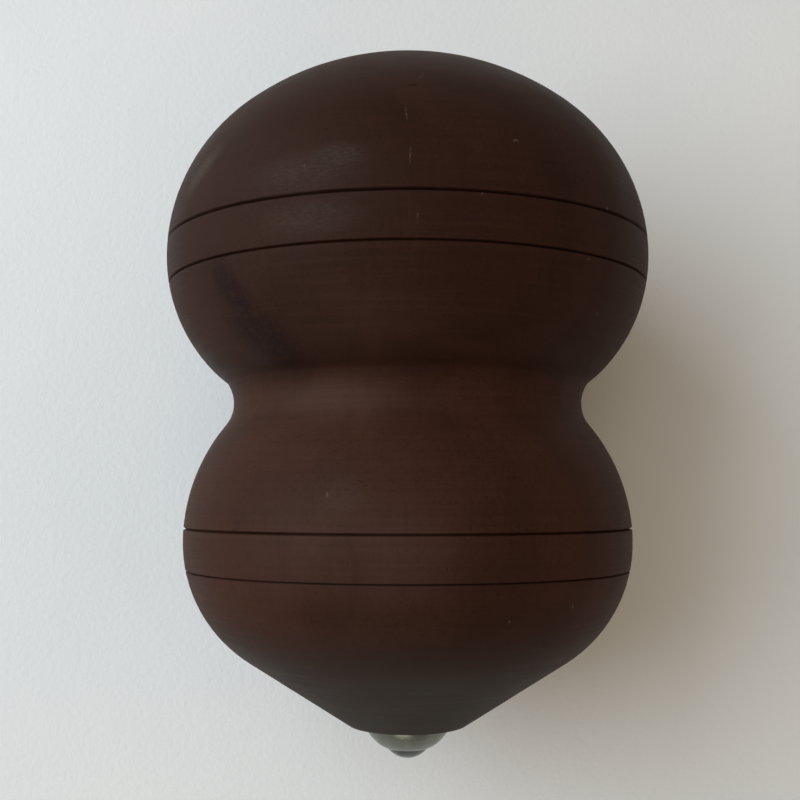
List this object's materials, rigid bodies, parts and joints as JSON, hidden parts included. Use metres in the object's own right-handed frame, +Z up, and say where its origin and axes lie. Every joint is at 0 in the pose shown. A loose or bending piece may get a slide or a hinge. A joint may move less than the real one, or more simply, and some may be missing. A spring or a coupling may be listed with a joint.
{
  "type": "roller massager",
  "caption": "Hand-held gourd-shaped massager turned from dark hardwood, with a steel ball that rolls in its nose.",
  "frame": {"origin": "on the surface that the massager lies on, under the middle of its length", "axes": "+Z up, +Y towards the crown and -Y towards the ball, +X across; the turning axis lies in the YZ plane and rises 4.05 degrees towards the crown"},
  "size_m": [0.1, 0.1444, 0.0999],
  "materials": {
    "dark_hardwood": "oiled satin, fine lathe marks",
    "brass": "machined",
    "spring_steel": "dark spring steel",
    "satin_steel": "turned satin",
    "hardened_steel": "ground and polished",
    "ball_steel": "polished, slightly worn",
    "felt": "dense wool felt"
  },
  "bodies": {
    "housing": {"turned_body": "dark_hardwood", "threaded_insert": "brass", "spring_washer": "spring_steel", "ball_seat": "satin_steel", "race_cup": "hardened_steel", "felt_wiper": "felt", "retaining_cap": "satin_steel"},
    "support_balls": {"support_balls": "hardened_steel"},
    "roller_ball": {"roller_ball": "ball_steel"}
  },
  "joints": [
    {"name": "support_orbit", "type": "hinge", "parent": "housing", "child": "support_balls", "pos_m": [0, -0.06697, 0.04309], "axis": [0, 0.9975, 0.0707], "continuous": true},
    {"name": "ball_roll", "type": "hinge", "parent": "support_balls", "child": "roller_ball", "pos_m": [0, -0.06697, 0.04309], "axis": [1, 0, 0], "continuous": true}
  ]
}
